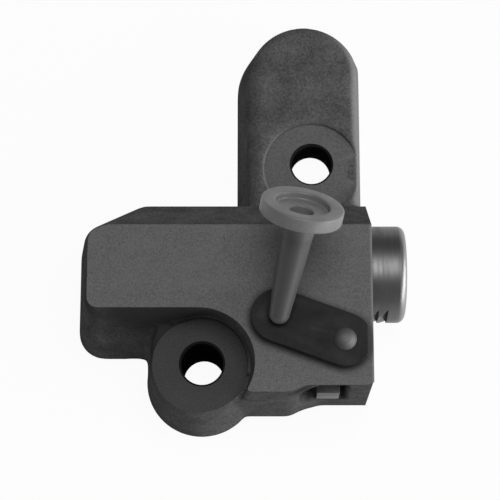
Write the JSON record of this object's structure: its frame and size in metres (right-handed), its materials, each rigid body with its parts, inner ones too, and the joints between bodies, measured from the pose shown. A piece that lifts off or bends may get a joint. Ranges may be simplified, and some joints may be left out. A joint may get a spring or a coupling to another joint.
{
  "type": "timing chain tensioner",
  "caption": "Hydraulic timing chain tensioner: cast housing with a bolt lug, toothed spring plunger, ratchet pawl on a stop lever and a pull-out lock pin.",
  "frame": {"origin": "axis of the lower bolt hole, on the mounting face", "axes": "+X the way the plunger comes out, +Y towards the upper bolt lug, +Z out of the mounting face"},
  "size_m": [0.0551, 0.0713, 0.0438],
  "materials": {
    "casting": "as-cast dark grey iron with a fine sand grain",
    "ground_steel": "ground bright steel",
    "dark_steel": "black oxide pressed steel",
    "spring_steel": "drawn spring wire and strip",
    "pin_plastic": "moulded grey plastic",
    "disc_plastic": "moulded natural plastic"
  },
  "bodies": {
    "housing": {"housing": "casting", "valve_seat": "ground_steel", "ball_cage": "spring_steel", "plunger_spring": "spring_steel", "ball_spring": "spring_steel", "lever_spring": "spring_steel"},
    "plunger": {"plunger": "ground_steel", "vent_disc": "disc_plastic"},
    "lever": {"stop_lever": "dark_steel", "pivot_shaft": "ground_steel", "pawl": "ground_steel", "retaining_clip": "spring_steel"},
    "check_ball": {"check_ball": "ground_steel"},
    "lock_pin": {"lock_pin": "pin_plastic"}
  },
  "joints": [
    {"name": "plunger_slide", "type": "slide", "parent": "housing", "child": "plunger", "axis": [1, 0, 0], "range_m": [0, 0.015], "deforming": ["plunger_spring"]},
    {"name": "lever_pivot", "type": "hinge", "parent": "housing", "child": "lever", "pos_m": [0.0227, 0.00195, 0.0234], "axis": [0, 0, 1], "range_deg": [0, 8], "stiffness_Nm_per_rad": 0.02, "springref_deg": -20.05, "deforming": ["lever_spring"]},
    {"name": "check_ball_lift", "type": "slide", "parent": "housing", "child": "check_ball", "axis": [1, 0, 0], "range_m": [0, 0.0006], "stiffness_N_per_m": 20, "springref_m": -0.001, "deforming": ["ball_spring"]},
    {"name": "lock_pin_pull", "type": "slide", "parent": "housing", "child": "lock_pin", "axis": [0, 0, 1], "range_m": [0, 0.01]}
  ]
}
